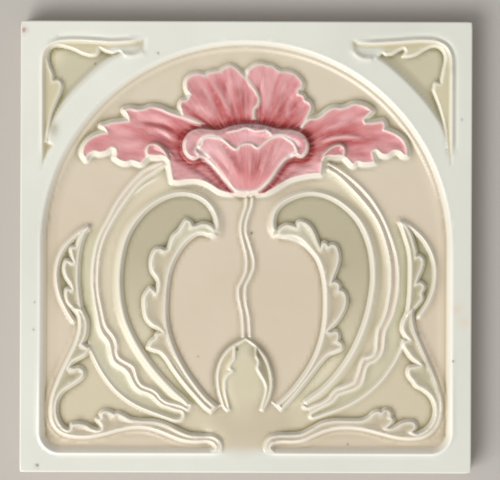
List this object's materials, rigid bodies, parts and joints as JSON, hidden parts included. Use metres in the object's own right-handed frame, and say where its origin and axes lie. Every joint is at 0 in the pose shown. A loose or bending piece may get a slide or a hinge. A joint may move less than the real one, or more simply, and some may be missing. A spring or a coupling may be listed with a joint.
{
  "type": "relief wall tile",
  "caption": "Square relief-moulded glazed wall tile: raised flat frame, sunk arched panel with a moulded flower, whiplash stems, leaves and bud, and a grooved flat back.",
  "frame": {"origin": "centre of the flat back face, which the tile rests on", "axes": "+Z out of the glazed face, +Y towards the top of the pattern, +X towards its right edge"},
  "size_m": [0.152, 0.152, 0.0105],
  "materials": {
    "glazed_ceramic": "coloured majolica glazes over a pressed earthenware biscuit, glossy, pale frame with beige, olive and pink zones"
  },
  "bodies": {
    "root": {"relief_tile": "glazed_ceramic"}
  },
  "joints": []
}
